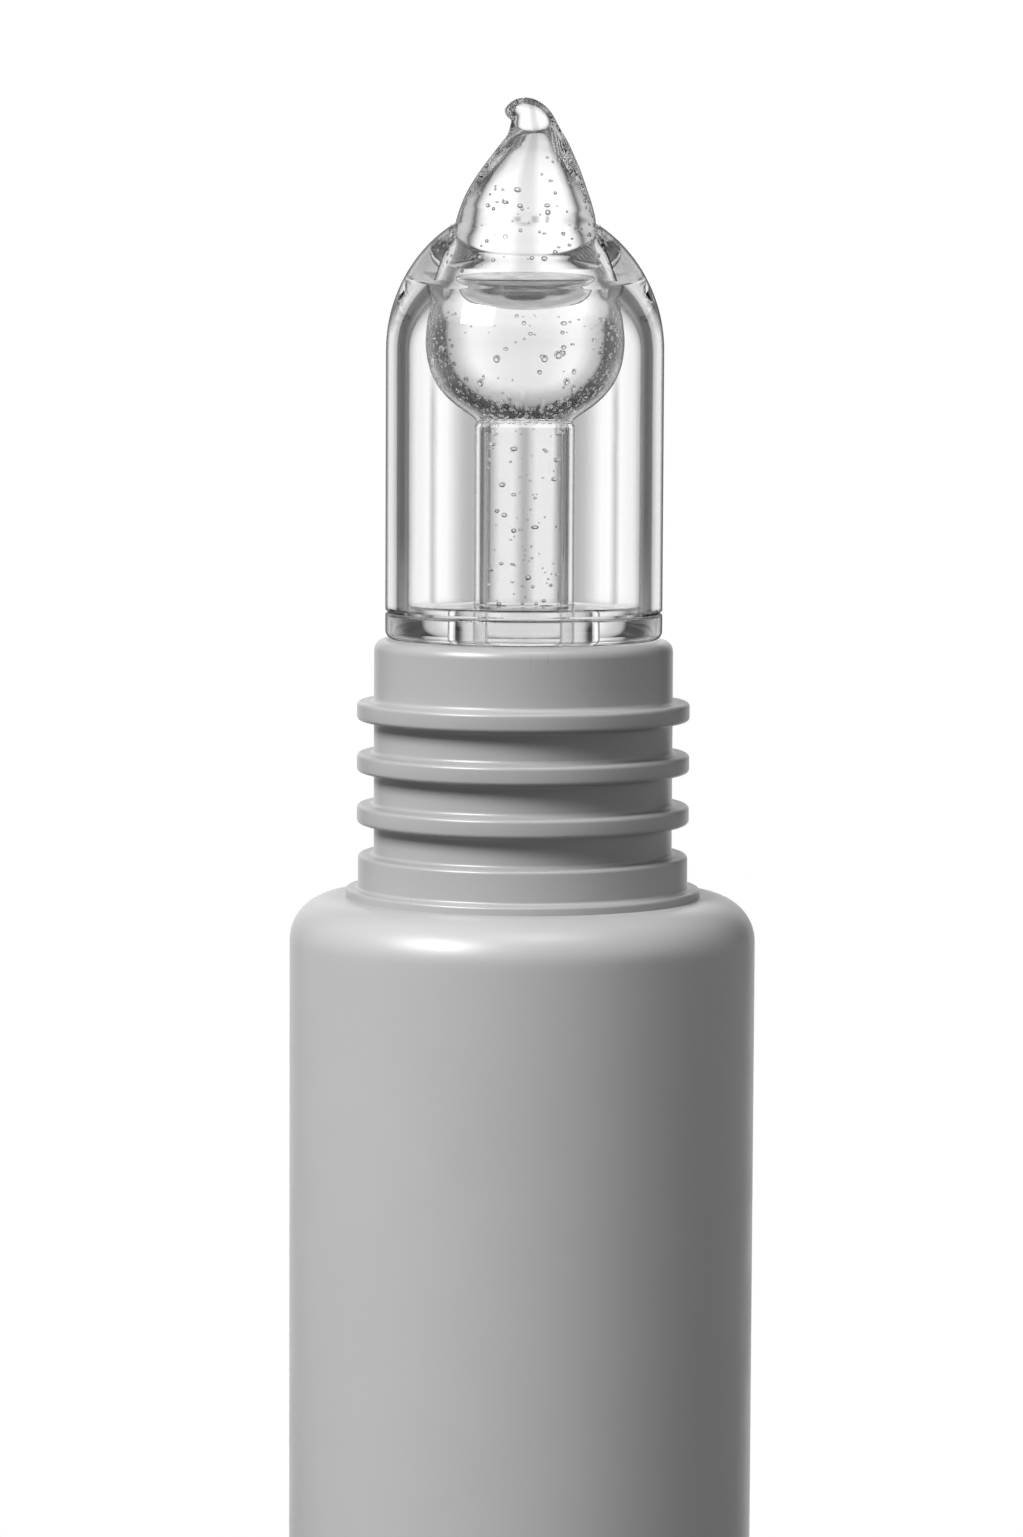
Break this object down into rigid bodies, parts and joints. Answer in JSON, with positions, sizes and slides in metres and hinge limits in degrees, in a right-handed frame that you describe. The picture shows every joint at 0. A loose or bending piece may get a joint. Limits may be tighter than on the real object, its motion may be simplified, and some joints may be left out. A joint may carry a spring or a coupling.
{
  "type": "cosmetic squeeze tube",
  "caption": "Small grey squeeze tube with a flat sealed tail, ringed neck and clear hollow dome applicator that dispenses a clear gel through its crown.",
  "frame": {"origin": "middle of the sealed tail's cut end", "axes": "+Z along the tube from the tail to the tip, X along the width of the flat tail, -Y towards the viewer of the picture"},
  "size_m": [0.0296, 0.019, 0.0923],
  "materials": {
    "sleeve_plastic": "satin grey polyethylene",
    "neck_plastic": "satin grey moulded plastic",
    "clear_plastic": "polished clear plastic",
    "clear_gel": "wet clear gel with small air bubbles"
  },
  "bodies": {
    "root": {"tube_sleeve": "sleeve_plastic", "neck_fitment": "neck_plastic", "tip_base": "clear_plastic", "feed_bulb": "clear_plastic", "tip_dome": "clear_plastic", "gel_fill": "clear_gel", "gel_column": "clear_gel", "gel_peak": "clear_gel"}
  },
  "joints": []
}
